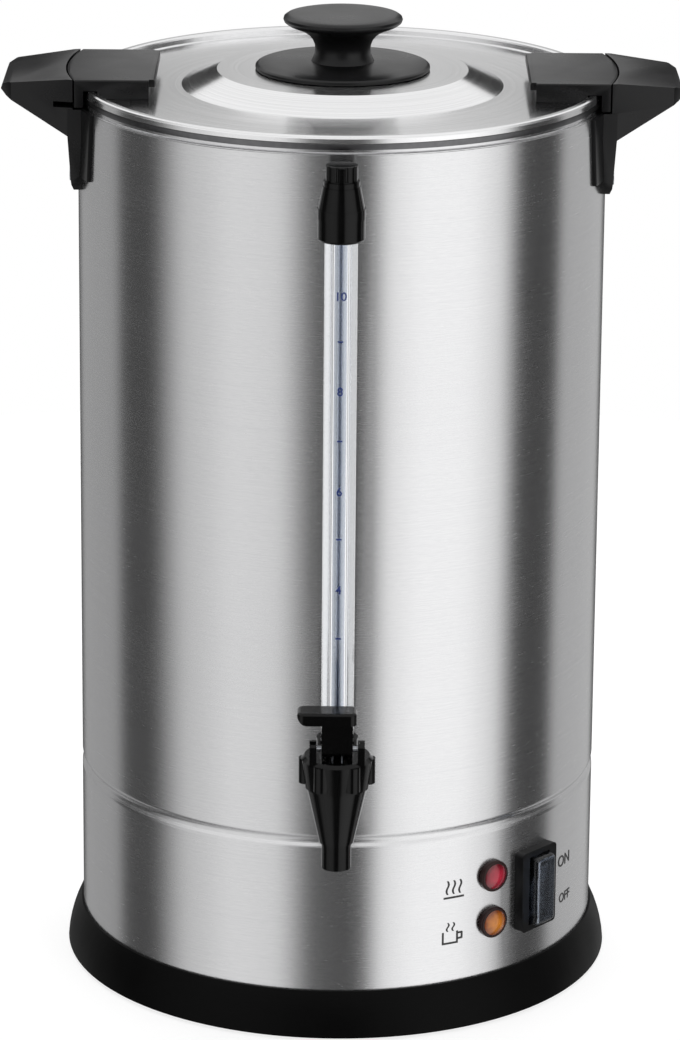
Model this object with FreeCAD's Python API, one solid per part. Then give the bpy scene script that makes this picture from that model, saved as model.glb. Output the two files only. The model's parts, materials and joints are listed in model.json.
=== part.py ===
import FreeCAD, Part
import math
import os

# Hot water urn, millimetres. Z is up, the tap looks along -Y, the handles lie along X.
# The origin is on the urn's axis, on the surface that it stands on.

V = FreeCAD.Vector
UP = V(0, 0, 1)
AXIS_X = V(1, 0, 0)
AXIS_Y = V(0, 1, 0)

# Body shell and base
body_r = 120.0
sheet = 0.8
rim_top = 413.2
rim_bead_r = 1.55
rim_step = 1.1
rim_fold_drop = 4.3
rim_fold_out = 0.2
groove_z = 93.5
groove_half = 3.6
groove_depth = 1.4
groove_steps = 6
skirt_bottom = 14.0
floor_sheet = 1.0
floor_dish = 3.0
floor_z = groove_z + 3.5
floor_lip = 12.0
fit_gap = 0.3
shaft_gap = 0.05

# Black base ring, bottom plate and feet
ring_flare = 7.2
ring_bottom_r = body_r + ring_flare
ring_cover = 7.5
ring_top_z = skirt_bottom + ring_cover
ring_lip = 1.0
ring_bottom_z = 1.2
ring_wall = 3.2
ring_ledge = 8.0
ring_ledge_t = 2.5
plate_t = 1.6
plate_z = 6.0
foot_r = 9.0
foot_count = 4
foot_inset = 32.0
foot_pcd = 2 * (body_r - foot_inset)
foot_stem_r = 3.0
vent_len = 46.0
vent_w = 4.0
vent_count = 5
vent_pitch = 12.0
plate_screw_r = 1.7
plate_screw_head_r = 3.4
plate_screw_head_h = 1.8
plate_screw_count = 3
plate_screw_inset = 9.0
plate_screw_pcd = 2 * (body_r - plate_screw_inset)
screw_slot_w = 1.0
screw_slot_depth = 0.8

# Heater under the floor
heat_plate_r = 66.0
heat_plate_t = 3.0
element_ring_r = 48.0
element_tube_r = 4.0
element_gap_deg = 40.0
terminal_len = 16.0
terminal_r = 1.6
disc_stat_r = 9.0
disc_stat_h = 12.0
boil_stat_xy = (-18.0, 10.0)
keep_stat_xy = (18.0, 10.0)
tab_len = 8.0
tab_t = 0.8
cutout_xy = (0.0, -22.0)
cutout_size = (18.0, 14.0, 30.0)
cutout_bracket_t = 1.2
cutout_bracket_len = 34.0
reset_r = 3.0
reset_stick_out = 3.0
block_size = (34.0, 18.0, 14.0)
block_xy = (-34.0, 62.0)
block_way_share = 3.2
block_screw_well_r = 2.2
lead_r = 1.5
lead_rises = (20.0, 34.0, 46.0)

# Power inlet at the back
inlet_z = 50.0
inlet_w = 27.0
inlet_h = 20.0
inlet_depth = 18.0
inlet_wall = 2.0
inlet_flange_w = 48.0
inlet_flange_h = 26.0
inlet_flange_t = 3.0
inlet_pin_w = 2.0
inlet_pin_h = 4.0
inlet_pin_len = 14.0
inlet_pin_pitch = 7.0
inlet_screw_pitch = 40.0
inlet_screw_r = 1.5
inlet_screw_head_r = 2.9

# Lamps on the right of the tap
lamp_az = 36.2
red_lamp_z = 69.0
lamp_pitch = 22.5
amber_lamp_z = red_lamp_z - lamp_pitch
lamp_bezel_r = 7.4
lamp_bezel_t = 2.6
lamp_lens_r = 5.9
lamp_lens_h = 4.4
lamp_lens_dome = 1.8
lamp_barrel_r = 5.0
lamp_barrel_len = 22.0

# Rocker switch under its clear boot
switch_az = 48.6
switch_z = 57.0
switch_w = 24.0
switch_h = 38.5
switch_frame_out = 4.0
switch_hole_w = 19.0
switch_hole_h = 35.4
switch_body_depth = 24.0
boot_out = 8.6
boot_wall = 1.0
boot_w = 14.0
boot_h = 33.0
boot_corner_r = 2.4
rocker_w = 8.6
rocker_h = 22.0
rocker_proud = 3.0
rocker_pivot_depth = 0.5
rocker_pin_r = 1.2

# Tap, on its own vertical axis in front of the body
tap_reach = 38.0
tap_y = -body_r - tap_reach
spout_r = 6.5
spout_bore_r = 4.2
shank_z = 121.0
cone_foot_drop = 12.0
cone_z0 = shank_z - cone_foot_drop
spout_len = 12.0
spout_z = cone_z0 - spout_len
cone_h = 26.0
cone_z1 = cone_z0 + cone_h
cone_r0 = 7.6
cone_r1 = 13.4
cone_wall = 1.8
seat_r = 3.4
seat_t = 2.0
shank_r = 8.0
shank_bore_r = 4.5
shank_inside = 14.0
shank_flange_r = 12.0
shank_flange_t = 2.5
seal_r = 11.0
seal_t = 1.6
nut_across = 22.0
nut_t = 6.0
bonnet_h = 14.5
bonnet_z1 = cone_z1 + bonnet_h
bonnet_roof = 1.8
bonnet_r0 = cone_r1 + 0.8
bonnet_r1 = 15.8
bonnet_bore_r = 6.0
bonnet_lobe_r = 3.6
bonnet_lobe_out = 1.0
bonnet_lobe_count = 6
post_x0 = 9.0
post_t = 3.0
post_r = 3.8
pin_ahead = 8.0
pin_rise = 5.5
pin_z = bonnet_z1 + pin_rise
pin_r = 1.2
lever_rise = 12.6
lever_bottom = pin_z + lever_rise
lever_t = 5.5
lever_left = 17.5
lever_right = 8.5
lever_front = 14.5
lever_back = -2.2
lever_corner_r = 4.6
lever_block_w = 13.6
lever_neck_back = 5.0
lever_heel_drop = 3.0
lever_slot_w = 4.6
lever_head_w = 6.8
stem_r = 1.8
stem_head_rise = 3.5
stem_top = pin_z + stem_head_rise
stem_head_r = 2.8
stem_head_t = 1.6
stem_collar_r = 4.8
stem_collar_t = 1.2
stem_collar_rise = 0.6
stem_collar_z = cone_z1 + stem_collar_rise
cup_r = 5.0
cup_h = 8.0
spring_r = 4.3
spring_wire_r = 0.55
spring_turns = 4

# Sight gauge
gauge_reach = 11.5
gauge_y = -body_r - gauge_reach
tube_r = 7.2
tube_bore_r = 2.8
tube_rise = 13.0
tube_z0 = shank_z + tube_rise
tube_top_drop = 35.2
tube_z1 = rim_top - tube_top_drop
socket_r = 9.2
socket_grip = 14.0
socket_top = tube_z0 + socket_grip
seal_ring_t = 2.0
cap_grip = 3.5
cap_z0 = tube_z1 - cap_grip
cap_foot_h = 9.6
cap_band_z0 = cap_z0 + cap_foot_h
cap_band_h = 4.4
cap_band_z1 = cap_band_z0 + cap_band_h
cap_taper_h = 9.6
cap_taper_z1 = cap_band_z1 + cap_taper_h
cap_r0 = 10.3
cap_band_r = 10.5
cap_r1 = 8.2
cap_ring_r = 7.9
cap_ring_t = 2.4
plug_r = 7.0
plug_h = 7.1
plug_ribs = 10
stay_rise = 2.5
stay_z = cap_band_z1 + stay_rise
stay_r = 4.6
stay_washer_r = 7.0
stay_screw_r = 2.0
stay_screw_head_r = 4.0

# Lid
lid_inset = 0.6
lid_r = body_r - lid_inset
lid_edge_rise = 3.8
lid_edge_z = rim_top + lid_edge_rise
lid_edge_drop = 3.2
lid_roll_w = 5.4
lid_flat_r = lid_r - lid_roll_w
lid_flat_drop = 3.6
lid_flat_z = lid_edge_z - lid_flat_drop
lid_flange_w = 41.0
lid_valley_r = lid_flat_r - lid_flange_w
lid_valley_drop = 2.8
lid_valley_z = lid_edge_z - lid_valley_drop
lid_cone_w = 16.0
lid_crown_r = lid_valley_r - lid_cone_w
lid_crown_h = 7.0
lid_crown_z = lid_valley_z + lid_crown_h
lid_collar_inset = 4.4
lid_collar_r = body_r - lid_collar_inset
lid_collar_depth = 12.0
lid_seal_w = 2.0
seal_in_r = lid_collar_r + 0.4
seal_out_r = seal_in_r + lid_seal_w
seal_h = 1.9
knob_base_r = 39.6
knob_base_t = 3.0
knob_neck_r = 12.6
knob_h = 25.3
knob_top_z = lid_crown_z + knob_h
knob_top_r = 27.0
knob_top_t = 5.6
knob_screw_r = 2.5
knob_screw_head_r = 5.0

# Handles and the lid's two blocks that sit between them
grip_half_y = 34.0
grip_tip_half_y = 26.0
grip_reach = 33.5
grip_tip_x = body_r + grip_reach
grip_rise = 9.0
grip_top_z = rim_top + grip_rise
grip_tip_drop = 2.8
grip_tip_depth = 6.5
grip_heel_drop = 17.0
grip_heel_z = rim_top - grip_heel_drop
grip_root_drop = 4.6
grip_root_z = rim_top - grip_root_drop
leg_out = 3.0
leg_len = 43.7
leg_bottom = rim_top - leg_len
leg_foot_half_y = 29.0
flange_deg_top = 22.5
flange_deg_bottom = 20.5
flange_t = 1.6
split_out = 5.2
split_r = body_r + split_out
slot_drop = 3.8
slot_z = rim_top - slot_drop
slot_h = 2.6
slot_depth = 8.0
block_gap = 0.7
block_reach = 33.5
block_in_x = body_r - block_reach
block_lip = 2.6
block_lip_t = 3.4
block_skirt_drop = 3.6
block_skirt_z = rim_top - block_skirt_drop
block_rim_gap = 0.7
handle_screw_drop = 21.5
handle_screw_pitch = 16.0
handle_screw_z = (rim_top - handle_screw_drop - handle_screw_pitch, rim_top - handle_screw_drop)
handle_screw_half_y = 16.0
handle_screw_r = 2.0
handle_screw_head_r = 3.8
handle_screw_head_t = 2.0
handle_nut_r = 3.8
handle_nut_t = 2.6
block_screw_half_y = 20.0
block_screw_inset = 20.0
block_screw_x = body_r - block_screw_inset
block_screw_r = 1.6
block_screw_head_r = 3.2
block_screw_len = 5.2

wall_in_r = body_r - sheet
nodes = {}


def cylinder(radius, length, x, y, z, direction=UP):
    return Part.makeCylinder(radius, length, V(x, y, z), direction)


def box(x0, x1, y0, y1, z0, z1):
    return Part.makeBox(x1 - x0, y1 - y0, z1 - z0, V(x0, y0, z0))


def slab(points, z0, z1):
    """A prism on a closed outline in plan."""
    corners = [V(x, y, z0) for x, y in points]
    face = Part.Face(Part.makePolygon(corners + corners[:1]))
    return face.extrude(V(0, 0, z1 - z0))


def turned(points, x=0.0, y=0.0):
    """A solid of revolution on a closed radius and height outline."""
    corners = [V(r, 0, z) for r, z in points]
    face = Part.Face(Part.makePolygon(corners + corners[:1]))
    solid = face.revolve(V(0, 0, 0), UP, 360)
    solid.translate(V(x, y, 0))
    return solid


def tube(r_out, r_in, z0, z1, x=0.0, y=0.0):
    return cylinder(r_out, z1 - z0, x, y, z0).cut(cylinder(r_in, z1 - z0, x, y, z0))


def join(first, *others):
    return first.fuse(list(others)).removeSplitter() if others else first


def at_azimuth(shape, degrees):
    """Turns a piece made at the front of the urn to its place round the body."""
    turned_shape = shape.copy()
    turned_shape.rotate(V(0, 0, 0), UP, degrees)
    return turned_shape


def opposite(shape):
    return at_azimuth(shape, 180)


def round_edges(shape, radius, picked):
    edges = [edge for edge in shape.Edges if picked(edge)]
    return shape.makeFillet(radius, edges) if edges else shape


def along_z(edge):
    direction = edge.tangentAt(edge.FirstParameter)
    return abs(direction.z) > 0.999 and isinstance(edge.Curve, Part.Line)


def keep(name, shape):
    nodes[name] = shape


def hex_prism(across, height, x, y, z, direction=UP):
    corner = across / math.sqrt(3)
    ring = [V(corner * math.cos(math.radians(60 * k)), corner * math.sin(math.radians(60 * k)), 0)
            for k in range(7)]
    solid = Part.Face(Part.makePolygon(ring)).extrude(V(0, 0, height))
    solid.Placement = FreeCAD.Placement(V(x, y, z), FreeCAD.Rotation(UP, direction))
    return solid


def wall_band(r_in, r_out, z0, z1, half_deg0, half_deg1):
    """A patch of the body's surface about the -X side, narrower at its foot."""
    ring = tube(r_out, r_in, z0, z1)
    y_top = r_out * math.sin(math.radians(half_deg1))
    y_foot = r_out * math.sin(math.radians(half_deg0))
    outline = [V(0, -y_foot, z0), V(0, y_foot, z0), V(0, y_top, z1), V(0, -y_top, z1)]
    face = Part.Face(Part.makePolygon(outline + outline[:1]))
    return ring.common(face.extrude(V(-2 * r_out, 0, 0)))


# Body

def front_hole(radius, z, degrees=0.0):
    return at_azimuth(cylinder(radius, 8, 0, -body_r - 4, z, AXIS_Y), degrees)


def front_window(width, height, z, degrees):
    cutter = box(-width / 2, width / 2, -body_r - 6, -body_r + 8, z - height / 2, z + height / 2)
    return at_azimuth(cutter, degrees)


def handle_holes(radius):
    cutters = []
    for z in handle_screw_z:
        for y in (-handle_screw_half_y, handle_screw_half_y):
            cutters.append(cylinder(radius, 2 * body_r + 40, -body_r - 20, y, z, AXIS_X))
    return cutters


def groove_side(side, inset):
    """Points of the joint groove from its foot to the plain wall, above it or below it."""
    points = []
    for k in range(groove_steps + 1):
        share = k / groove_steps
        depth = groove_depth * (1 + math.cos(math.pi * share)) / 2
        points.append((body_r - inset - depth, groove_z + side * groove_half * share))
    return points


def tank_shell():
    fold_z = rim_top - rim_fold_drop
    bead_z = rim_top - rim_bead_r
    neck_r = body_r - rim_step
    outside = groove_side(1, 0) + [
        (body_r, fold_z - 0.3), (body_r + rim_fold_out, fold_z), (body_r + rim_fold_out, fold_z + 0.3),
        (neck_r, fold_z + 0.9), (neck_r, bead_z)]
    inside = [(neck_r - sheet, bead_z), (neck_r - sheet, fold_z + 0.3), (wall_in_r, fold_z - 0.5)]
    wall = turned(outside + inside + groove_side(1, sheet)[::-1])
    bead = Part.makeTorus(neck_r - rim_bead_r, rim_bead_r, V(0, 0, bead_z), UP)
    shell = join(wall, bead)
    cutters = handle_holes(handle_screw_r + fit_gap / 2)
    cutters.append(front_hole(shank_r + fit_gap / 2, shank_z))
    cutters.append(front_hole(stay_screw_r + fit_gap / 2, stay_z))
    return shell.cut(cutters)


def tank_floor():
    edge_r = wall_in_r - groove_depth - shaft_gap
    lip_r = edge_r - floor_sheet
    pan = turned([
        (0, floor_z - floor_dish), (lip_r - 6, floor_z), (lip_r, floor_z - 2),
        (lip_r, floor_z - floor_lip), (edge_r, floor_z - floor_lip), (edge_r, floor_z - 2),
        (lip_r - 5, floor_z + floor_sheet), (0, floor_z - floor_dish + floor_sheet)])
    return pan


def base_skirt():
    outside = [(body_r, skirt_bottom)] + groove_side(-1, 0)[::-1]
    skirt = turned(outside + groove_side(-1, sheet) + [(wall_in_r, skirt_bottom)])
    cutters = [front_hole(lamp_barrel_r + fit_gap / 2, z, lamp_az) for z in (red_lamp_z, amber_lamp_z)]
    cutters.append(front_window(switch_hole_w, switch_hole_h, switch_z, switch_az))
    cutters.append(front_window(inlet_w + 2 * fit_gap, inlet_h + 2 * fit_gap, inlet_z, 180))
    for x in (-inlet_screw_pitch / 2, inlet_screw_pitch / 2):
        cutters.append(opposite(cylinder(inlet_screw_r, 10, x, -body_r - 4, inlet_z, AXIS_Y)))
    return skirt.cut(cutters)


def base_ring():
    top_r = body_r + ring_lip
    ledge_r = body_r - ring_ledge
    seat = skirt_bottom - shaft_gap
    waist = V(ring_bottom_r - 0.26 * ring_flare, 0, (ring_bottom_z + ring_top_z) / 2)
    curve = Part.Arc(V(ring_bottom_r, 0, ring_bottom_z), waist, V(top_r, 0, ring_top_z))
    inside = [
        V(top_r, 0, ring_top_z), V(body_r + shaft_gap, 0, ring_top_z), V(body_r + shaft_gap, 0, seat),
        V(ledge_r, 0, seat), V(ledge_r, 0, seat - ring_ledge_t),
        V(ring_bottom_r - ring_wall - 3, 0, seat - ring_ledge_t),
        V(ring_bottom_r - ring_wall, 0, ring_bottom_z), V(ring_bottom_r, 0, ring_bottom_z)]
    wire = Part.Wire([curve.toShape()] + Part.makePolygon(inside).Edges)
    return Part.Face(wire).revolve(V(0, 0, 0), UP, 360)


def plate_screw_places():
    places = []
    for k in range(plate_screw_count):
        angle = math.radians(90 + 360 / plate_screw_count * k)
        places.append((plate_screw_pcd / 2 * math.cos(angle), plate_screw_pcd / 2 * math.sin(angle)))
    return places


def foot_places():
    places = []
    for k in range(foot_count):
        angle = math.radians(45 + 360 / foot_count * k)
        places.append((foot_pcd / 2 * math.cos(angle), foot_pcd / 2 * math.sin(angle)))
    return places


def plate_top():
    return plate_z + plate_t


def bottom_plate():
    plate_r = ring_bottom_r - ring_wall - 4
    plate = cylinder(plate_r, plate_t, 0, 0, plate_z)
    rim_high = skirt_bottom - shaft_gap - ring_ledge_t
    rim = tube(plate_r, plate_r - 8, plate_z, rim_high - shaft_gap)
    cutters = []
    for k in range(vent_count):
        y = (k - (vent_count - 1) / 2) * vent_pitch
        for x in (-52.0, 52.0):
            cutters.append(box(x - vent_len / 2, x + vent_len / 2, y - vent_w / 2, y + vent_w / 2,
                               plate_z - 1, plate_top() + 1))
    for x, y in foot_places():
        cutters.append(cylinder(foot_stem_r, plate_t + 2, x, y, plate_z - 1))
    for x, y in plate_screw_places():
        cutters.append(cylinder(plate_screw_r, 30, x, y, plate_z - 10))
    x, y = cutout_xy
    cutters.append(cylinder(reset_r + fit_gap, plate_t + 2, x, y, plate_z - 1))
    return join(plate, rim).cut(cutters)


def rubber_feet():
    feet = []
    for x, y in foot_places():
        pad = cylinder(foot_r, plate_z, x, y, 0)
        stem = cylinder(foot_stem_r, plate_t, x, y, plate_z)
        head = cylinder(foot_stem_r + 1.2, 1.6, x, y, plate_top())
        feet.append(join(pad, stem, head))
    return Part.makeCompound(feet)


def bottom_screws():
    screws = []
    for x, y in plate_screw_places():
        under = plate_z - plate_screw_head_h
        head = cylinder(plate_screw_head_r, plate_screw_head_h, x, y, under)
        slot = box(x - screw_slot_w / 2, x + screw_slot_w / 2, y - 4, y + 4, under, under + screw_slot_depth)
        shank = cylinder(plate_screw_r - shaft_gap, 5.0, x, y, plate_z)
        screws.append(join(head.cut(slot), shank))
    return Part.makeCompound(screws)


# Heater and controls

def heat_plate_top():
    return floor_z - floor_dish - 0.1


def heat_plate():
    return cylinder(heat_plate_r, heat_plate_t, 0, 0, heat_plate_top() - heat_plate_t)


def element_z():
    return heat_plate_top() - heat_plate_t - element_tube_r


def heating_element():
    sweep = 360 - element_gap_deg
    circle = Part.Face(Part.Wire(Part.makeCircle(element_tube_r, V(element_ring_r, 0, element_z()), AXIS_Y)))
    ring = circle.revolve(V(0, 0, 0), UP, sweep)
    ring.rotate(V(0, 0, 0), UP, 90 + element_gap_deg / 2)
    legs = []
    for sign in (-1, 1):
        angle = math.radians(90 + sign * (element_gap_deg / 2))
        x = element_ring_r * math.cos(angle)
        y = element_ring_r * math.sin(angle)
        elbow = Part.makeSphere(element_tube_r, V(x, y, element_z()))
        leg = cylinder(element_tube_r, terminal_len, x, y, element_z() - terminal_len)
        pin = cylinder(terminal_r, 7, x, y, element_z() - terminal_len - 7)
        legs += [elbow, leg, pin]
    return join(ring, *legs)


def disc_thermostat(xy):
    x, y = xy
    top = heat_plate_top() - heat_plate_t
    can = cylinder(disc_stat_r, disc_stat_h, x, y, top - disc_stat_h)
    flange = cylinder(disc_stat_r + 2.5, 1.0, x, y, top - 1.0)
    tabs = []
    tab_top = top - disc_stat_h
    for dx in (-5.0, 5.0):
        tabs.append(box(x + dx - tab_t / 2, x + dx + tab_t / 2, y - 3, y + 3, tab_top - tab_len, tab_top))
    return join(can, flange, *tabs)


def cutout_bracket():
    x, y = cutout_xy
    depth = cutout_size[1]
    half = cutout_bracket_len / 2
    foot = box(x - half, x + half, y - depth / 2, y + depth / 2, plate_top(), plate_top() + cutout_bracket_t)
    return foot.cut(cylinder(reset_r + fit_gap, 4, x, y, plate_top() - 1))


def cutout_body():
    x, y = cutout_xy
    width, depth, height = cutout_size
    z0 = plate_top() + cutout_bracket_t
    can = box(x - width / 2, x + width / 2, y - depth / 2, y + depth / 2, z0, z0 + height)
    bore = cylinder(reset_r + fit_gap, 9, x, y, z0)
    bulb = cylinder(2.0, 12, x, y + depth / 4, z0 + height)
    return join(can.cut(bore), bulb)


def reset_button():
    x, y = cutout_xy
    z0 = plate_z - reset_stick_out
    z1 = plate_top() + cutout_bracket_t + 5.5
    stem = cylinder(reset_r, z1 - z0, x, y, z0)
    return round_edges(stem, 0.6, lambda edge: abs(edge.CenterOfMass.z - z0) < 0.01)


def terminal_block():
    x, y = block_xy
    width, depth, height = block_size
    body = box(x - width / 2, x + width / 2, y - depth / 2, y + depth / 2, plate_top(), plate_top() + height)
    cutters = []
    for k in (-1, 0, 1):
        x_way = x + k * width / block_way_share
        front = y - depth / 2 - 1
        cutters.append(cylinder(lead_r + fit_gap, depth + 2, x_way, front, plate_top() + height / 2, AXIS_Y))
        cutters.append(cylinder(block_screw_well_r, 4, x_way, y, plate_top() + height - 3))
    return body.cut(cutters)


def inner_leads():
    x, y = block_xy
    width, depth, height = block_size
    z = plate_top() + height / 2
    leads = []
    for k, rise in enumerate(lead_rises):
        x0 = x + (k - 1) * width / block_way_share
        y0 = y - depth / 2 - 14
        run = cylinder(lead_r, 26, x0, y0, z, AXIS_Y)
        bend = Part.makeSphere(lead_r, V(x0, y0, z))
        riser = cylinder(lead_r, rise, x0, y0, z)
        leads.append(join(run, bend, riser))
    return Part.makeCompound(leads)


# Power inlet at the back, made at the front and turned round

def power_inlet():
    y_wall = -body_r
    flange = box(-inlet_flange_w / 2, inlet_flange_w / 2, y_wall - inlet_flange_t, y_wall + 4,
                 inlet_z - inlet_flange_h / 2, inlet_z + inlet_flange_h / 2)
    flange = round_edges(flange, 4.0, lambda edge: abs(edge.tangentAt(edge.FirstParameter).y) > 0.99)
    flange = flange.cut(cylinder(body_r, inlet_flange_h, 0, 0, inlet_z - inlet_flange_h / 2))
    cup = box(-inlet_w / 2, inlet_w / 2, y_wall - inlet_flange_t, y_wall + inlet_depth,
              inlet_z - inlet_h / 2, inlet_z + inlet_h / 2)
    mouth = box(-inlet_w / 2 + inlet_wall, inlet_w / 2 - inlet_wall,
                y_wall - inlet_flange_t, y_wall + inlet_depth - inlet_wall,
                inlet_z - inlet_h / 2 + inlet_wall, inlet_z + inlet_h / 2 - inlet_wall)
    cutters = [mouth]
    for x in (-inlet_screw_pitch / 2, inlet_screw_pitch / 2):
        cutters.append(cylinder(inlet_screw_r, 14, x, y_wall - inlet_flange_t, inlet_z, AXIS_Y))
    for k in (-1, 0, 1):
        cutters.append(inlet_pin(k))
    return opposite(join(flange, cup).cut(cutters))


def inlet_pin(k):
    x = k * inlet_pin_pitch
    z = inlet_z + (3.0 if k == 0 else -1.0)
    back = -body_r + inlet_depth + 5
    return box(x - inlet_pin_w / 2, x + inlet_pin_w / 2, back - inlet_wall - 5 - inlet_pin_len, back,
               z - inlet_pin_h / 2, z + inlet_pin_h / 2)


def inlet_pins():
    return opposite(Part.makeCompound([inlet_pin(k) for k in (-1, 0, 1)]))


def inlet_screws():
    screws = []
    face = -body_r - inlet_flange_t
    for x in (-inlet_screw_pitch / 2, inlet_screw_pitch / 2):
        head = cylinder(inlet_screw_head_r, 1.6, x, face - 1.6, inlet_z, AXIS_Y)
        slot = box(x - 3, x + 3, face - 1.6, face - 0.8, inlet_z - 0.45, inlet_z + 0.45)
        shank = cylinder(inlet_screw_r - shaft_gap, 9, x, face, inlet_z, AXIS_Y)
        screws.append(join(head.cut(slot), shank))
    return opposite(Part.makeCompound(screws))


# Lamps and switch

def lamp_face_y():
    return -body_r - 0.1


def lamp_bezel(z):
    face = lamp_face_y()
    ring = cylinder(lamp_bezel_r, lamp_bezel_t, 0, face - lamp_bezel_t, z, AXIS_Y)
    ring = round_edges(ring, 1.0, lambda edge: abs(edge.CenterOfMass.y - face + lamp_bezel_t) < 0.01)
    bore = cylinder(lamp_lens_r + shaft_gap, lamp_bezel_t, 0, face - lamp_bezel_t, z, AXIS_Y)
    return at_azimuth(ring.cut(bore), lamp_az)


def lamp_lens(z):
    face = lamp_face_y()
    crown = V(0, 0, lamp_lens_h)
    brow = V(lamp_lens_r * 0.6, 0, lamp_lens_h - lamp_lens_dome * 0.36)
    edge = V(lamp_lens_r, 0, lamp_lens_h - lamp_lens_dome)
    edges = [Part.Arc(crown, brow, edge).toShape()]
    edges += Part.makePolygon([edge, V(lamp_lens_r, 0, 0), V(0, 0, 0), crown]).Edges
    lens = Part.Face(Part.Wire(edges)).revolve(V(0, 0, 0), UP, 360)
    lens.Placement = FreeCAD.Placement(V(0, face, z), FreeCAD.Rotation(UP, V(0, -1, 0)))
    return at_azimuth(lens, lamp_az)


def lamp_barrel(z):
    face = lamp_face_y() + shaft_gap
    barrel = cylinder(lamp_barrel_r, lamp_barrel_len, 0, face, z, AXIS_Y)
    nut = hex_prism(14.0, 3.0, 0, -wall_in_r + 0.6, z, AXIS_Y)
    end = face + lamp_barrel_len
    tabs = []
    for x in (-2.5, 2.5):
        tabs.append(box(x - tab_t / 2, x + tab_t / 2, end, end + 6, z - 1.5, z + 1.5))
    return at_azimuth(join(barrel, nut, *tabs), lamp_az)


def switch_bezel():
    y_wall = -body_r
    frame = box(-switch_w / 2, switch_w / 2, y_wall - switch_frame_out, y_wall + 3,
                switch_z - switch_h / 2, switch_z + switch_h / 2)
    frame = round_edges(frame, 2.0, lambda edge: abs(edge.tangentAt(edge.FirstParameter).y) > 0.99)
    frame = frame.cut(cylinder(body_r + shaft_gap, switch_h, 0, 0, switch_z - switch_h / 2))
    neck = box(-switch_hole_w / 2 + fit_gap, switch_hole_w / 2 - fit_gap,
               y_wall - switch_frame_out, y_wall + 6,
               switch_z - switch_hole_h / 2 + fit_gap, switch_z + switch_hole_h / 2 - fit_gap)
    window = box(-boot_w / 2 - shaft_gap, boot_w / 2 + shaft_gap,
                 y_wall - switch_frame_out, y_wall + 6,
                 switch_z - boot_h / 2 - shaft_gap, switch_z + boot_h / 2 + shaft_gap)
    return at_azimuth(join(frame, neck).cut(window), switch_az)


def switch_boot():
    y_wall = -body_r
    front = y_wall - boot_out
    outer = box(-boot_w / 2, boot_w / 2, front, y_wall + 5.5, switch_z - boot_h / 2, switch_z + boot_h / 2)
    outer = round_edges(outer, boot_corner_r, lambda edge: edge.CenterOfMass.y < front + 9.6)
    inner = box(-boot_w / 2 + boot_wall, boot_w / 2 - boot_wall, front + boot_wall, y_wall + 6,
                switch_z - boot_h / 2 + boot_wall, switch_z + boot_h / 2 - boot_wall)
    return at_azimuth(outer.cut(inner), switch_az)


def rocker_pivot_y():
    return -body_r - rocker_pivot_depth


def switch_rocker():
    y0 = rocker_pivot_y()
    half = rocker_h / 2
    outline = [
        V(0, y0 - rocker_proud - 2.0, switch_z + half), V(0, y0 - rocker_proud + 1.0, switch_z),
        V(0, y0 - rocker_proud - 0.2, switch_z - half), V(0, y0 + 0.4, switch_z - half + 1.4),
        V(0, y0 + 2.6, switch_z - 4), V(0, y0 + 2.6, switch_z + 4), V(0, y0 + 0.4, switch_z + half - 1.4)]
    solid = Part.Face(Part.makePolygon(outline + outline[:1])).extrude(V(rocker_w, 0, 0))
    solid.translate(V(-rocker_w / 2, 0, 0))
    bore = cylinder(rocker_pin_r + shaft_gap, rocker_w + 2, -rocker_w / 2 - 1, y0, switch_z, AXIS_X)
    return at_azimuth(solid.cut(bore), switch_az)


def switch_body():
    y_wall = -body_r
    inside_w = boot_w - 2 * boot_wall - 0.4
    inside_h = boot_h - 2 * boot_wall - 0.4
    core = box(-inside_w / 2, inside_w / 2, y_wall - 0.5, y_wall + 7,
               switch_z - inside_h / 2, switch_z + inside_h / 2)
    rear = box(-switch_hole_w / 2 + 1.2, switch_hole_w / 2 - 1.2, y_wall + 6.2, y_wall + switch_body_depth,
               switch_z - switch_hole_h / 2 + 1.2, switch_z + switch_hole_h / 2 - 1.2)
    well = box(-rocker_w / 2 - 0.4, rocker_w / 2 + 0.4, y_wall - 1, y_wall + 6,
               switch_z - rocker_h / 2 - 0.8, switch_z + rocker_h / 2 + 0.8)
    pin = cylinder(rocker_pin_r, rocker_w + 1, -rocker_w / 2 - 0.5, rocker_pivot_y(), switch_z, AXIS_X)
    ears = []
    for x in (-rocker_w / 2 - 1.4, rocker_w / 2 + 0.4):
        ears.append(box(x, x + 1.0, rocker_pivot_y() - 2.2, y_wall + 4, switch_z - 2.4, switch_z + 2.4))
    tabs = []
    end = y_wall + switch_body_depth
    for z in (-9.0, 0.0, 9.0):
        tabs.append(box(-3, 3, end, end + 7, switch_z + z - tab_t / 2, switch_z + z + tab_t / 2))
    return at_azimuth(join(join(core, rear).cut(well), pin, *(ears + tabs)), switch_az)


# Tap

def cone_r(z):
    share = (z - cone_z0) / (cone_z1 - cone_z0)
    return cone_r0 + (cone_r1 - cone_r0) * share


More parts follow.
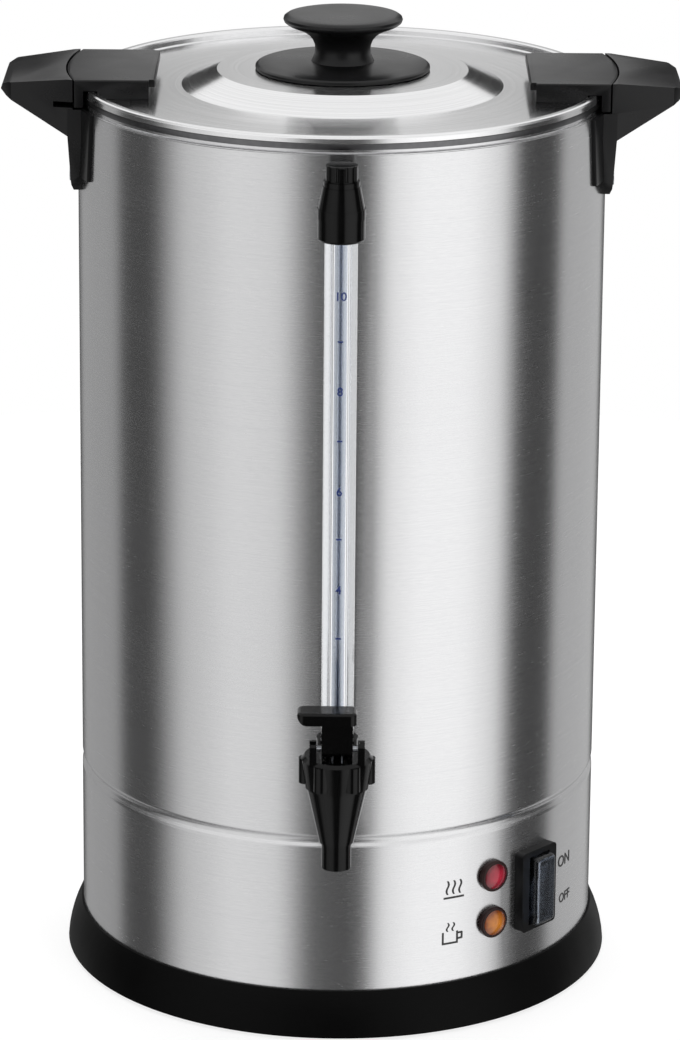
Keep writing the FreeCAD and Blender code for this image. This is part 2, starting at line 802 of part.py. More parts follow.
def tap_body():
    seat_z = cone_z0 + seat_t
    outer = turned([
        (0, spout_z), (spout_r, spout_z), (spout_r, cone_z0), (cone_r0, cone_z0),
        (cone_r1, cone_z1), (0, cone_z1)], 0, tap_y)
    cavity = turned([
        (0, seat_z), (cone_r(seat_z) - cone_wall, seat_z),
        (cone_r1 - cone_wall, cone_z1), (0, cone_z1)], 0, tap_y)
    orifice = turned([
        (0, spout_z), (spout_bore_r, spout_z), (spout_bore_r, cone_z0), (seat_r, cone_z0 + 0.8),
        (seat_r, seat_z), (0, seat_z)], 0, tap_y)
    inner_end = -wall_in_r + shank_inside
    shank = cylinder(shank_r, inner_end - tap_y, 0, tap_y, shank_z, AXIS_Y)
    flange_y = -body_r - 0.1 - seal_t - shank_flange_t
    flange = cylinder(shank_flange_r, shank_flange_t, 0, flange_y, shank_z, AXIS_Y)
    socket = cylinder(socket_r, socket_top - shank_z, 0, gauge_y, shank_z)
    ring_z = tube_z0 - seal_ring_t
    socket_bore = cylinder(tube_r + fit_gap / 2, socket_top - ring_z, 0, gauge_y, ring_z)
    channel = cylinder(shank_bore_r, inner_end - tap_y, 0, tap_y, shank_z, AXIS_Y)
    riser = cylinder(tube_bore_r, ring_z - shank_z, 0, gauge_y, shank_z)
    return join(outer, shank, flange, socket).cut([cavity, orifice, channel, socket_bore, riser])


def tap_gasket(y0):
    ring = cylinder(seal_r, seal_t, 0, y0, shank_z, AXIS_Y)
    return ring.cut(cylinder(shank_r + shaft_gap, seal_t, 0, y0, shank_z, AXIS_Y))


def tap_nut():
    y0 = -wall_in_r + 1.0 + seal_t
    nut = hex_prism(nut_across, nut_t, 0, y0, shank_z, AXIS_Y)
    return nut.cut(cylinder(shank_r + shaft_gap, nut_t, 0, y0, shank_z, AXIS_Y))


def tap_bonnet():
    skirt_z = cone_z1 + 0.1
    cap = turned([
        (0, skirt_z), (bonnet_r0, skirt_z), (bonnet_r1, bonnet_z1 - 1.5),
        (bonnet_r1 - 1.5, bonnet_z1), (0, bonnet_z1)], 0, tap_y)
    lobes = []
    for k in range(bonnet_lobe_count):
        angle = math.radians(-60 + 360 / bonnet_lobe_count * k)
        reach = bonnet_r1 - bonnet_lobe_r + bonnet_lobe_out
        x = reach * math.cos(angle)
        y = tap_y + reach * math.sin(angle)
        lobes.append(cylinder(bonnet_lobe_r, bonnet_z1 - skirt_z - 3.0, x, y, skirt_z + 1.6))
    posts = []
    pin_y = tap_y - pin_ahead
    for x in (-post_x0 - post_t, post_x0):
        ear = cylinder(post_r, post_t, x, pin_y, pin_z, AXIS_X)
        leg = box(x, x + post_t, pin_y - post_r, pin_y + post_r, bonnet_z1 - 2, pin_z)
        posts += [ear, leg]
    solid = join(cap, *(lobes + posts))
    hollow = cylinder(bonnet_bore_r, bonnet_z1 - bonnet_roof - skirt_z, 0, tap_y, skirt_z)
    stem_hole = cylinder(stem_r + shaft_gap, 12, 0, tap_y, bonnet_z1 - 6)
    pin_hole = cylinder(pin_r, 40, -20, pin_y, pin_z, AXIS_X)
    return solid.cut([hollow, stem_hole, pin_hole])


def lever_pin():
    reach = post_x0 + post_t
    return cylinder(pin_r, 2 * reach, -reach, tap_y - pin_ahead, pin_z, AXIS_X)


def tap_lever():
    pin_y = tap_y - pin_ahead
    front = tap_y - lever_front
    back = tap_y + lever_back
    paddle = box(-lever_left, lever_right, front, back, lever_bottom, lever_bottom + lever_t)
    paddle = round_edges(paddle, 3.0, along_z)
    paddle = round_edges(paddle, 1.6, lambda edge: edge.CenterOfMass.z > lever_bottom + lever_t - 0.01)
    turn_x = -lever_left + lever_corner_r
    turn_z = lever_bottom + lever_corner_r
    trim = box(-lever_left - 1, turn_x, front - 1, back + 1, lever_bottom - 1, turn_z)
    corner = cylinder(lever_corner_r, back - front + 2, turn_x, front - 1, turn_z, AXIS_Y)
    paddle = paddle.cut(trim.cut(corner))
    half = lever_block_w / 2
    neck_end = tap_y + lever_neck_back
    neck = box(-half, half, pin_y - 3.4, neck_end, pin_z, lever_bottom + 1)
    cheek = cylinder(3.4, lever_block_w, -half, pin_y, pin_z, AXIS_X)
    heel = box(-half, half, pin_y, neck_end, pin_z - lever_heel_drop, pin_z)
    solid = join(paddle, neck, cheek, heel)
    ledge = pin_z - 1.2 - stem_head_t / 2
    slot_y = tap_y - 4.2
    slot_top = stem_top + 1.5
    slot_foot = pin_z - lever_heel_drop - 2
    slot = box(-lever_slot_w / 2, lever_slot_w / 2, slot_y, neck_end + 1, slot_foot, slot_top)
    pocket = box(-lever_head_w / 2, lever_head_w / 2, slot_y, neck_end + 1, ledge, slot_top)
    bore = cylinder(pin_r + shaft_gap, lever_block_w + 2, -half - 1, pin_y, pin_z, AXIS_X)
    return solid.cut([slot, pocket, bore])


def tap_stem():
    foot = cone_z0 + seat_t + cup_h
    shaft = cylinder(stem_r, stem_top - foot + 4, 0, tap_y, foot - 4)
    head = cylinder(stem_head_r, stem_head_t, 0, tap_y, stem_top - stem_head_t)
    collar = cylinder(stem_collar_r, stem_collar_t, 0, tap_y, stem_collar_z)
    return join(shaft, head, collar)


def tap_seat_cup():
    z0 = cone_z0 + seat_t + 0.05
    cup = turned([
        (0, z0), (cup_r - 1.0, z0), (cup_r, z0 + 1.6), (cup_r - 1.2, z0 + cup_h), (0, z0 + cup_h)], 0, tap_y)
    return cup.cut(cylinder(stem_r, cup_h, 0, tap_y, cone_z0 + seat_t + cup_h - 4))


def spring_ends():
    low = stem_collar_z + stem_collar_t + spring_wire_r + 0.1
    high = bonnet_z1 - bonnet_roof - spring_wire_r - 0.1
    return low, high


def tap_spring():
    low, high = spring_ends()
    pitch = (high - low) / spring_turns
    path = Part.makeHelix(pitch, high - low, spring_r)
    section = Part.Wire(Part.makeCircle(spring_wire_r, V(spring_r, 0, 0), AXIS_Y))
    coil = Part.Wire(path).makePipeShell([section], True, True)
    coil.translate(V(0, tap_y, low))
    gap = pitch - 2 * spring_wire_r
    print("least gap between the spring's turns, mm:", round(gap, 2))
    return coil


# Sight gauge

def gauge_seal(z0):
    return tube(tube_r, tube_bore_r, z0, z0 + seal_ring_t - 0.05, 0, gauge_y)


def gauge_tube():
    return tube(tube_r, tube_bore_r, tube_z0, tube_z1, 0, gauge_y)


def gauge_cap():
    shell = turned([
        (0, cap_z0), (cap_r0 - 0.6, cap_z0), (cap_r0, cap_z0 + 0.8), (cap_r0, cap_band_z0),
        (cap_band_r, cap_band_z0), (cap_band_r, cap_band_z1), (cap_band_r - 0.4, cap_band_z1),
        (cap_r1, cap_taper_z1), (0, cap_taper_z1)], 0, gauge_y)
    stay = cylinder(stay_r, -body_r - gauge_y - 1.3, 0, gauge_y, stay_z, AXIS_Y)
    washer = cylinder(stay_washer_r, 1.2, 0, -body_r - 1.3, stay_z, AXIS_Y)
    socket = cylinder(tube_r + fit_gap / 2, tube_z1 + seal_ring_t - cap_z0, 0, gauge_y, cap_z0)
    vent = cylinder(3.4, 30, 0, gauge_y, tube_z1)
    thread = cylinder(stay_screw_r, 9, 0, gauge_y + 4.6, stay_z, AXIS_Y)
    return join(shell, stay, washer).cut([socket, vent, thread])


def gauge_plug():
    ring_z = cap_taper_z1 + 0.05
    ring = cylinder(cap_ring_r, cap_ring_t, 0, gauge_y, ring_z)
    knob = cylinder(plug_r, plug_h, 0, gauge_y, ring_z + cap_ring_t)
    knob = round_edges(knob, 0.8, lambda edge: edge.CenterOfMass.z > ring_z + cap_ring_t + plug_h - 0.01)
    flutes = []
    for k in range(plug_ribs):
        angle = 2 * math.pi * k / plug_ribs
        x = (plug_r + 0.5) * math.cos(angle)
        y = gauge_y + (plug_r + 0.5) * math.sin(angle)
        flutes.append(cylinder(1.1, plug_h, x, y, ring_z + cap_ring_t + 0.6))
    stem = cylinder(3.4 - shaft_gap, 8, 0, gauge_y, ring_z - 8)
    return join(ring, knob.cut(flutes), stem)


def gauge_screw():
    tip = gauge_y + 4.7
    y_head = -wall_in_r + 0.6
    shank = cylinder(stay_screw_r - shaft_gap, y_head - tip, 0, tip, stay_z, AXIS_Y)
    head = cylinder(stay_screw_head_r, 2.2, 0, y_head, stay_z, AXIS_Y)
    return join(shank, head)


# Lid

def lid():
    t = sheet
    edge = lid_edge_z - lid_edge_drop
    pan = turned([
        (0, lid_crown_z - t), (lid_crown_r - 1, lid_crown_z - t), (lid_valley_r - 1, lid_valley_z - t),
        (lid_flat_r, lid_flat_z - t), (lid_collar_r, lid_flat_z - t), (lid_collar_r, lid_edge_z - t),
        (lid_r - t - 0.3, lid_edge_z - t), (lid_r - t, edge), (lid_r, edge),
        (lid_r, lid_edge_z - 1.3), (lid_r - 0.4, lid_edge_z - 0.4), (lid_r - 1.3, lid_edge_z),
        (lid_collar_r + 0.4, lid_edge_z), (lid_collar_r - t + 0.3, lid_edge_z - 0.5),
        (lid_collar_r - t, lid_edge_z - 1.2), (lid_collar_r - t, lid_flat_z + 0.5),
        (lid_flat_r, lid_flat_z), (lid_valley_r, lid_valley_z), (lid_crown_r, lid_crown_z), (0, lid_crown_z)])
    collar = tube(lid_collar_r, lid_collar_r - t, rim_top - lid_collar_depth, lid_flat_z - t / 2)
    cutters = [cylinder(knob_screw_r + fit_gap / 2, 6, 0, 0, lid_crown_z - 3)]
    for x, y in block_screw_places():
        cutters.append(cylinder(block_screw_r + fit_gap / 2, 8, x, y, lid_valley_z - 3))
    return join(pan, collar).cut(cutters)


def lid_seal():
    z0 = rim_top + fit_gap / 2
    return tube(seal_out_r, seal_in_r, z0, z0 + seal_h)


def knob_base():
    z0 = lid_crown_z + 0.05
    disc = turned([
        (0, z0), (knob_base_r - 0.8, z0), (knob_base_r, z0 + 0.9), (knob_base_r - 0.3, z0 + 1.9),
        (knob_base_r - 1.4, z0 + knob_base_t - 0.3), (knob_neck_r + 3, z0 + knob_base_t + 0.6),
        (0, z0 + knob_base_t + 0.6)])
    return disc.cut(cylinder(knob_screw_r + fit_gap / 2, 8, 0, 0, z0 - 1))


def lid_knob():
    z0 = lid_crown_z + 0.05 + knob_base_t + 0.65
    under = knob_top_z - knob_top_t
    foot = V(knob_neck_r + 1.2, 0, z0)
    waist = V(knob_neck_r, 0, z0 + 5)
    flare = V(knob_neck_r + 3.6, 0, under - 1.6)
    lip = V(knob_top_r - 1.2, 0, under + 1.2)
    edge = V(knob_top_r, 0, knob_top_z - 2.4)
    brow = V(knob_top_r - 2.4, 0, knob_top_z - 0.3)
    crown = V(0, 0, knob_top_z)
    edges = [
        Part.LineSegment(V(0, 0, z0), foot).toShape(),
        Part.Arc(foot, waist, flare).toShape(),
        Part.LineSegment(flare, lip).toShape(),
        Part.Arc(lip, edge, brow).toShape(),
        Part.LineSegment(brow, crown).toShape(),
        Part.LineSegment(crown, V(0, 0, z0)).toShape()]
    knob = Part.Face(Part.Wire(edges)).revolve(V(0, 0, 0), UP, 360)
    return knob.cut(cylinder(knob_screw_r, 12, 0, 0, z0))


def knob_screw():
    z0 = lid_crown_z - sheet - 0.1
    head = cylinder(knob_screw_head_r, 2.4, 0, 0, z0 - 2.4)
    slot = box(-6, 6, -0.6, 0.6, z0 - 2.4, z0 - 1.4)
    shank = cylinder(knob_screw_r - shaft_gap, 14, 0, 0, z0)
    return join(head.cut(slot), shank)


def block_screw_places():
    return [(sign * block_screw_x, y) for sign in (-1, 1) for y in (-block_screw_half_y, block_screw_half_y)]


def block_foot_z(x):
    share = (x - lid_valley_r) / (lid_flat_r - lid_valley_r)
    return lid_valley_z + share * (lid_flat_z - lid_valley_z) + 0.1


def at_grip_top(edge):
    return abs(edge.CenterOfMass.z - grip_top_z) < 0.01


def lid_block():
    arc_r = split_r - block_gap
    half = grip_half_y
    plan = box(-arc_r, -block_in_x, -half, half, block_skirt_z, grip_top_z)
    plan = plan.common(cylinder(arc_r, 60, 0, 0, block_skirt_z - 10))
    under = lid_edge_z + 0.1
    inner_x = block_in_x - 6
    clear = turned([
        (0, block_skirt_z - 1), (body_r + block_rim_gap, block_skirt_z - 1), (body_r + block_rim_gap, under),
        (lid_flat_r + 0.6, under), (lid_flat_r + 0.6, lid_flat_z + 0.7),
        (lid_flat_r - 0.4, block_foot_z(lid_flat_r)), (inner_x, block_foot_z(inner_x)),
        (0, block_foot_z(inner_x))])
    lip = box(-block_in_x - 1, -block_in_x + block_lip, -half + 2, half - 2,
              grip_top_z - block_lip_t, grip_top_z)
    solid = join(plan.cut(clear), lip)
    solid = round_edges(solid, 0.9, lambda edge: at_grip_top(edge) and edge.Length > 20)
    cutters = []
    for x, y in block_screw_places():
        cutters.append(cylinder(block_screw_r, block_screw_len, x, y, lid_valley_z - 0.5))
    return solid.cut(cutters)


def block_screws(sign):
    screws = []
    for x, y in block_screw_places():
        if x * sign < 0:
            continue
        top = block_foot_z(abs(x)) - sheet - 0.2
        head = cylinder(block_screw_head_r, 1.8, x, y, top - 2.2)
        shank = cylinder(block_screw_r - shaft_gap, block_screw_len, x, y, top - 1.0)
        screws.append(join(head, shank))
    return screws


# Handles

def grip_wedge():
    """The grip seen from the front: a wedge that thins to its rounded tip."""
    inner = -(body_r - 12)
    tip = -grip_tip_x
    top_out = grip_top_z - grip_tip_drop
    outline = [
        V(inner, 0, grip_top_z), V(-split_r + 2, 0, grip_top_z), V(tip + 4, 0, top_out),
        V(tip + 1, 0, top_out - 1.4), V(tip, 0, top_out - 4), V(tip + 2.6, 0, top_out - grip_tip_depth),
        V(-body_r - leg_out, 0, grip_heel_z), V(inner, 0, grip_heel_z)]
    solid = Part.Face(Part.makePolygon(outline + outline[:1])).extrude(V(0, 2 * grip_half_y, 0))
    solid.translate(V(0, -grip_half_y, 0))
    return solid


def grip_plan():
    tip = -grip_tip_x
    start = -split_r + 6
    outline = [
        (0, -grip_half_y), (0, grip_half_y), (start, grip_half_y), (tip + 5, grip_tip_half_y + 1.5),
        (tip, grip_tip_half_y - 5), (tip, -grip_tip_half_y + 5), (tip + 5, -grip_tip_half_y - 1.5),
        (start, -grip_half_y)]
    return slab(outline, leg_bottom - 5, grip_top_z + 5)


def leg_plate():
    out = -body_r - leg_out
    outline = [
        V(out - 1, -leg_foot_half_y + 5, leg_bottom), V(out - 1, leg_foot_half_y - 5, leg_bottom),
        V(out - 1, leg_foot_half_y, leg_bottom + 5), V(out - 1, grip_half_y, grip_heel_z),
        V(out - 1, grip_half_y, grip_root_z), V(out - 1, -grip_half_y, grip_root_z),
        V(out - 1, -grip_half_y, grip_heel_z), V(out - 1, -leg_foot_half_y, leg_bottom + 5)]
    plate = Part.Face(Part.makePolygon(outline + outline[:1])).extrude(V(20, 0, 0))
    slant = [
        V(out, 0, grip_root_z + 1), V(out, 0, grip_heel_z),
        V(out + 1.2, 0, leg_bottom + 3), V(out + 2.4, 0, leg_bottom - 1),
        V(-body_r + 20, 0, leg_bottom - 1), V(-body_r + 20, 0, grip_root_z + 1)]
    envelope = Part.Face(Part.makePolygon(slant + slant[:1])).extrude(V(0, 4 * grip_half_y, 0))
    envelope.translate(V(0, -2 * grip_half_y, 0))
    return plate.common(envelope)


def handle():
    skin = body_r + 0.05
    grip = grip_wedge().common(grip_plan())
    grip = grip.cut(cylinder(split_r, 40, 0, 0, grip_root_z))
    flange = wall_band(skin, skin + flange_t, leg_bottom + 8, grip_root_z, flange_deg_bottom, flange_deg_top)
    solid = join(grip, leg_plate(), flange)
    solid = solid.cut(cylinder(skin, 80, 0, 0, leg_bottom - 10))
    slot = tube(split_r + slot_depth, split_r - 4, slot_z, slot_z + slot_h)
    slot = slot.common(box(-grip_tip_x, 0, -grip_half_y - 1, 0, slot_z, slot_z + slot_h))
    cutters = [slot]
    for z in handle_screw_z:
        for y in (-handle_screw_half_y, handle_screw_half_y):
            cutters.append(cylinder(handle_screw_r, 30, -body_r - 24, y, z, AXIS_X))
            cutters.append(cylinder(handle_screw_head_r, 30, -body_r - leg_out - 28, y, z, AXIS_X))
    return solid.cut(cutters)


def handle_screws():
    screws = []
    for z in handle_screw_z:
        for y in (-handle_screw_half_y, handle_screw_half_y):
            seat = -body_r - leg_out + 2.0
            head_x = seat - handle_screw_head_t
            head = cylinder(handle_screw_head_r - fit_gap / 2, handle_screw_head_t, head_x, y, z, AXIS_X)
            shank = cylinder(handle_screw_r - shaft_gap, 12, seat, y, z, AXIS_X)
            screws.append(join(head, shank))
    return screws


def handle_nuts():
    nuts = []
    for z in handle_screw_z:
        for y in (-handle_screw_half_y, handle_screw_half_y):
            x = -math.sqrt(wall_in_r ** 2 - (abs(y) + handle_nut_r) ** 2) + 0.5
            nut = cylinder(handle_nut_r, handle_nut_t, x, y, z, AXIS_X)
            nuts.append(nut.cut(cylinder(handle_screw_r - shaft_gap, handle_nut_t, x, y, z, AXIS_X)))
    return nuts


def both_sides(shapes):
    return Part.makeCompound(shapes + [opposite(shape) for shape in shapes])


keep("tank_shell", tank_shell())
keep("tank_floor", tank_floor())
keep("base_skirt", base_skirt())
keep("base_ring", base_ring())
keep("bottom_plate", bottom_plate())
keep("rubber_feet", rubber_feet())
keep("bottom_screws", bottom_screws())
keep("heat_plate", heat_plate())
keep("heating_element", heating_element())
keep("boil_thermostat", disc_thermostat(boil_stat_xy))
keep("keep_warm_thermostat", disc_thermostat(keep_stat_xy))
keep("cutout_bracket", cutout_bracket())
keep("dry_boil_cutout", cutout_body())
keep("reset_button", reset_button())
keep("terminal_block", terminal_block())
keep("inner_leads", inner_leads())
keep("power_inlet", power_inlet())
keep("inlet_pins", inlet_pins())
keep("inlet_screws", inlet_screws())
for lamp_name, lamp_z in (("heating_lamp", red_lamp_z), ("keep_warm_lamp", amber_lamp_z)):
    keep(lamp_name + "_bezel", lamp_bezel(lamp_z))
    keep(lamp_name + "_lens", lamp_lens(lamp_z))
    keep(lamp_name + "_barrel", lamp_barrel(lamp_z))
keep("switch_bezel", switch_bezel())
keep("switch_boot", switch_boot())
keep("switch_rocker", switch_rocker())
keep("switch_body", switch_body())
keep("tap_body", tap_body())
keep("tap_gasket_outer", tap_gasket(-body_r - 0.1 - seal_t))
keep("tap_gasket_inner", tap_gasket(-wall_in_r + 0.9))
keep("tap_nut", tap_nut())
keep("tap_bonnet", tap_bonnet())
keep("lever_pin", lever_pin())
keep("tap_lever", tap_lever())
keep("tap_stem", tap_stem())
keep("tap_seat_cup", tap_seat_cup())
keep("tap_spring", tap_spring())
keep("gauge_seal_lower", gauge_seal(tube_z0 - seal_ring_t))
keep("gauge_seal_upper", gauge_seal(tube_z1 + 0.02))
keep("gauge_tube", gauge_tube())
keep("gauge_cap", gauge_cap())
keep("gauge_plug", gauge_plug())
keep("gauge_screw", gauge_screw())
keep("lid", lid())
keep("lid_seal", lid_seal())
keep("knob_base", knob_base())
keep("lid_knob", lid_knob())
keep("knob_screw", knob_screw())
keep("lid_block_left", lid_block())
keep("lid_block_right", opposite(lid_block()))
keep("lid_block_screws", Part.makeCompound(block_screws(-1) + block_screws(1)))
keep("handle_left", handle())
keep("handle_right", opposite(handle()))
keep("handle_screws", both_sides(handle_screws()))
keep("handle_nuts", both_sides(handle_nuts()))

os.makedirs("parts", exist_ok=True)
for node_name, node_shape in nodes.items():
    for solid in node_shape.Solids:
        if not (solid.isValid() and solid.isClosed()):
            print("bad solid in", node_name)
    node_shape.exportStep("parts/" + node_name + ".step")
    print(node_name, len(node_shape.Solids), "solids", round(node_shape.Volume), "mm3")
print(len(nodes), "nodes")
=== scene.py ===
import json
import math
import bpy
from mathutils import Matrix, Vector


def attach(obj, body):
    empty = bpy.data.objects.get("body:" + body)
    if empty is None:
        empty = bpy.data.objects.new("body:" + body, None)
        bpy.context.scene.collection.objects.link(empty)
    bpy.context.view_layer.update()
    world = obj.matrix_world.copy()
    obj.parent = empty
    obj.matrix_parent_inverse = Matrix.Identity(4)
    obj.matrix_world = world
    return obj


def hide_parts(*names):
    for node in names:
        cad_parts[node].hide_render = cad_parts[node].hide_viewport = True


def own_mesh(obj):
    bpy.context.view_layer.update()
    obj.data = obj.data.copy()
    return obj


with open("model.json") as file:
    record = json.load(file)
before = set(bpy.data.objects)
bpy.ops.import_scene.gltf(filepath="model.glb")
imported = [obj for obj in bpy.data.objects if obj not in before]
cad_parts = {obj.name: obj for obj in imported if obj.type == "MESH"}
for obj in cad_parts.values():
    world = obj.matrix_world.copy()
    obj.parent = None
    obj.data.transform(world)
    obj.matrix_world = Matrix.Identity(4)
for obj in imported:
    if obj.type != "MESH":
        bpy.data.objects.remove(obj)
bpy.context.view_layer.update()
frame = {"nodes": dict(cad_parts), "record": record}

mm = 0.001
nodes = frame["nodes"]
print("frame loaded:", len(nodes), "nodes")


# camera, from the photograph's own perspective
view = {
    "place": (0.0, -2.0802, 0.8676), "pitchDown": 16.16, "roll": 0.0082,
    "lens": 162.17, "sensor": 36, "shiftY": -0.1154, "nearest": 0.05,
}
bpy.ops.object.select_all(action="DESELECT")
bpy.ops.object.camera_add(location=view["place"])
camera = bpy.context.object
camera.rotation_mode = "QUATERNION"
tilt = Matrix.Rotation(math.radians(90 - view["pitchDown"]), 4, "X") @ Matrix.Rotation(view["roll"], 4, "Z")
camera.rotation_quaternion = tilt.to_quaternion()
camera.data.lens = view["lens"]
camera.data.sensor_width = view["sensor"]
camera.data.shift_y = view["shiftY"]
camera.data.clip_start = view["nearest"]
bpy.context.scene.camera = camera
bpy.context.scene.view_settings.view_transform = "Standard"
print("camera set")


# shader nodes joined by plain sums
class Signal:
    def __init__(self, finish, socket):
        self.finish = finish
        self.socket = socket

    def __add__(self, other):
        return self.finish.maths("ADD", self, other)

    def __radd__(self, other):
        return self.finish.maths("ADD", other, self)

    def __mul__(self, other):
        return self.finish.maths("MULTIPLY", self, other)

    def __rmul__(self, other):
        return self.finish.maths("MULTIPLY", other, self)


class Finish:
    def __init__(self, name, colour=(0.5, 0.5, 0.5), fixed=None):
        self.material = bpy.data.materials.new(name)
        self.material.use_nodes = True
        self.tree = self.material.node_tree
        self.shader = self.tree.nodes["Principled BSDF"]
        self.shader.inputs["Base Color"].default_value = (*colour, 1)
        for socketName, value in (fixed or {}).items():
            self.shader.inputs[socketName].default_value = value
        self.place = self.add("ShaderNodeTexCoord", out="Object")

    def add(self, kind, settings=None, inputs=None, out=0):
        node = self.tree.nodes.new(kind)
        for key, value in (settings or {}).items():
            setattr(node, key, value)
        for key, value in (inputs or {}).items():
            if isinstance(value, Signal):
                self.tree.links.new(value.socket, node.inputs[key])
            else:
                node.inputs[key].default_value = value
        return Signal(self, node.outputs[out])

    def maths(self, operation, a, b=0.0):
        return self.add("ShaderNodeMath", {"operation": operation}, {0: a, 1: b})

    def vector(self, operation, out=0, **inputs):    # inputs a, b and c in their order
        slots = dict(enumerate(inputs.values()))
        return self.add("ShaderNodeVectorMath", {"operation": operation}, slots, out)

    def spread(self, value, low, high, toLow=0.0, toHigh=1.0):
        ends = {"From Min": low, "From Max": high, "To Min": toLow, "To Max": toHigh}
        return self.add("ShaderNodeMapRange", {"clamp": True}, {"Value": value, **ends})

    def axes(self):
        return [self.add("ShaderNodeSeparateXYZ", inputs={0: self.place}, out=i) for i in range(3)]

    def radius(self):
        return self.vector("LENGTH", "Value", a=self.vector("MULTIPLY", a=self.place, b=(1, 1, 0)))

    def noise(self, scale, detail=2.0, stretch=None, where=None):
        where = where or self.place
        if stretch:
            where = self.add("ShaderNodeMapping", inputs={"Vector": where, "Scale": stretch})
        return self.add("ShaderNodeTexNoise", inputs={"Vector": where, "Scale": scale, "Detail": detail})

    def mix(self, factor, first, second):
        return self.add("ShaderNodeMix", {"data_type": "RGBA"}, {0: factor, 6: first, 7: second}, out=2)

    def feed(self, socketName, signal):
        self.tree.links.new(signal.socket, self.shader.inputs[socketName])

    def bump(self, height, strength, depth):    # depth in mm
        inputs = {"Height": height, "Strength": strength, "Distance": depth * mm}
        self.feed("Normal", self.add("ShaderNodeBump", inputs=inputs))

    def greys(self, factor, dark, light):
        self.feed("Base Color", self.mix(factor, (*dark, 1), (*light, 1)))


# between which values of its noise a finish changes
spans = {
    "full": (0.3, 0.7), "haze": (0.35, 0.7), "lines": (0.34, 0.66), "thin": (0.4, 0.7), "patch": (0.5, 0.75),
}
# the gauge's tube; the painted shade in its bore spans two radii and darkens towards a middle band, in mm
gauge = {
    "axisY": -131.5, "radius": 7.2, "inkLift": 0.05, "boreShade": (3.1, 3.4), "boreShadeCore": (0.3, 1.2),
    "numbers": {"10": 350.9, "8": 308.4, "6": 263.2, "4": 218.3}, "numberSize": 5.4,
    "ticks": [330.9, 286.3, 241.7, 196.1], "tick": (2.4, 0.7),
}
# the lamp lenses; painted shade darkens each lens from its core towards its edge, in mm
lampFace = {
    "azimuth": 36.2, "radius": 120.1, "red": 69.0, "amber": 46.5, "edge": 6.8, "core": 4.5, "waver": 1.2,
}


# steel
steel = {
    "dark": (0.69, 0.69, 0.70), "light": (0.76, 0.76, 0.765), "bright": (0.88, 0.88, 0.885),
    "rough": (0.20, 0.28), "lidRough": (0.14, 0.22), "drawn": 0.72, "spun": 0.65, "grainTurn": 0.25,
    "lines": (9, 9, 5200), "flecks": (260, 260, 2400), "lineShare": 0.55, "spinAcross": 7, "spinLines": 4200,
}


def grained(name, colour, pull):
    turn = steel["grainTurn"]
    return Finish(name, colour, {"Metallic": 1.0, "Anisotropic": pull, "Anisotropic Rotation": turn})


def brushedShell():
    f = grained("brushedShell", steel["light"], steel["drawn"])
    lines = f.noise(scale=1.0, detail=3.0, stretch=steel["lines"])
    flecks = f.noise(scale=1.0, detail=2.0, stretch=steel["flecks"])
    smudge = f.noise(scale=11.0, detail=3.0)
    tone = lines * steel["lineShare"] + flecks * (1 - steel["lineShare"])
    f.greys(f.spread(tone, *spans["lines"]), steel["dark"], steel["light"])
    rough = f.spread(tone, *spans["full"], *steel["rough"])
    f.feed("Roughness", rough + f.spread(smudge, *spans["patch"], toLow=0.0, toHigh=0.035))
    f.bump(lines, strength=0.02, depth=0.03)
    return f.material


def spunLid():
    f = grained("spunLid", steel["bright"], steel["spun"])
    x, y = f.axes()[:2]
    across = {0: x * steel["spinAcross"], 1: y * steel["spinAcross"], 2: f.radius() * steel["spinLines"]}
    lines = f.noise(scale=1.0, detail=3.0, where=f.add("ShaderNodeCombineXYZ", inputs=across))
    smudge = f.noise(scale=16.0, detail=3.0)
    f.greys(f.spread(lines, *spans["lines"]), steel["light"], steel["bright"])
    rough = f.spread(lines, *spans["full"], *steel["lidRough"])
    f.feed("Roughness", rough + f.spread(smudge, *spans["patch"], toLow=0.0, toHigh=0.05))
    f.bump(lines, strength=0.10, depth=0.04)
    return f.material


def innerSteel():
    f = Finish("innerSteel", (0.60, 0.60, 0.61), {"Metallic": 1.0})
    cloud = f.noise(scale=45.0, detail=4.0)
    f.greys(cloud, (0.52, 0.52, 0.53), (0.68, 0.68, 0.69))
    f.feed("Roughness", f.spread(cloud, *spans["full"], toLow=0.26, toHigh=0.42))
    return f.material


def plainMetal(name, dark, light, rough, grain=300.0):
    f = Finish(name, light, {"Metallic": 1.0})
    speckle = f.noise(scale=grain, detail=3.0)
    f.greys(speckle, dark, light)
    f.feed("Roughness", f.spread(speckle, *spans["full"], *rough))
    f.bump(speckle, strength=0.08, depth=0.05)
    return f.material


# mouldings, clear parts and rubber
def moulded(name, dark, light, rough, grain=2600.0, grit=0.04, bump=0.22, shine=None):
    f = Finish(name, light, {"Specular IOR Level": shine} if shine else None)
    pebble = f.noise(scale=grain, detail=2.0)
    worn = f.noise(scale=38.0, detail=4.0)
    f.greys(worn, dark, light)
    f.feed("Roughness", f.spread(worn, *spans["full"], *rough) + pebble * grit)
    f.bump(pebble, strength=bump, depth=0.06)
    return f.material


def glossMoulding():
    f = Finish("tapGloss", (0.002, 0.002, 0.002), {"Specular IOR Level": 0.22})
    flow = f.noise(scale=60.0, detail=3.0)
    f.greys(flow, (0.0008, 0.0008, 0.0009), (0.002, 0.002, 0.002))
    f.feed("Roughness", f.spread(flow, *spans["full"], toLow=0.10, toHigh=0.15))
    f.bump(flow, strength=0.05, depth=0.2)
    return f.material


